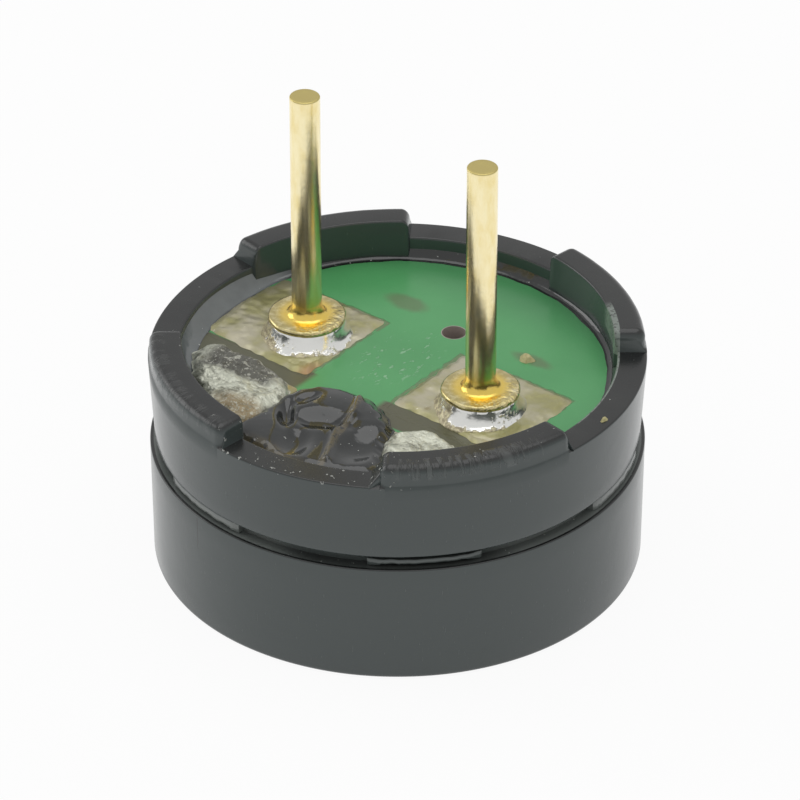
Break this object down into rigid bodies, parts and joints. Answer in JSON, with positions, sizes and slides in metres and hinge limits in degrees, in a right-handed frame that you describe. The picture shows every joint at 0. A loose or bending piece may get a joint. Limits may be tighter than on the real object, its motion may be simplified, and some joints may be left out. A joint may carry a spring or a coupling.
{
  "type": "magnetic buzzer",
  "caption": "Round black magnetic buzzer for a circuit board, with two gilt pins, stand-offs on its rim and a sound hole in the far face.",
  "frame": {"origin": "middle of the sound face, the flat face with the sound hole", "axes": "+Z along the pins, away from the sound face; X along the row of two pins, +X towards the right pin"},
  "size_m": [0.009, 0.009, 0.0086],
  "materials": {
    "case": "black moulded plastic, glossy, dusty",
    "board": "green coated laminate",
    "land": "tinned copper under old flux",
    "pin": "gilt, drawn and turned",
    "solder": "soft solder, rough",
    "resin": "black cast resin, glossy",
    "steel": "plain soft steel",
    "winding": "enamelled copper wire",
    "magnet": "sintered magnet, dull",
    "membrane": "rolled nickel-iron foil"
  },
  "bodies": {
    "root": {"sound_cup": "case", "pin_ring": "case", "circuit_board": "board", "epoxy_glob": "resin", "board_seal": "resin", "yoke": "steel", "core": "steel", "coil": "winding", "ring_magnet": "magnet", "diaphragm": "membrane", "diaphragm_weight": "steel", "left_pin": "pin", "left_pin_land": "land", "left_pin_solder": "solder", "left_lead_land": "land", "left_lead_solder": "solder", "right_pin": "pin", "right_pin_land": "land", "right_pin_solder": "solder", "right_lead_land": "land", "right_lead_solder": "solder"}
  },
  "joints": []
}
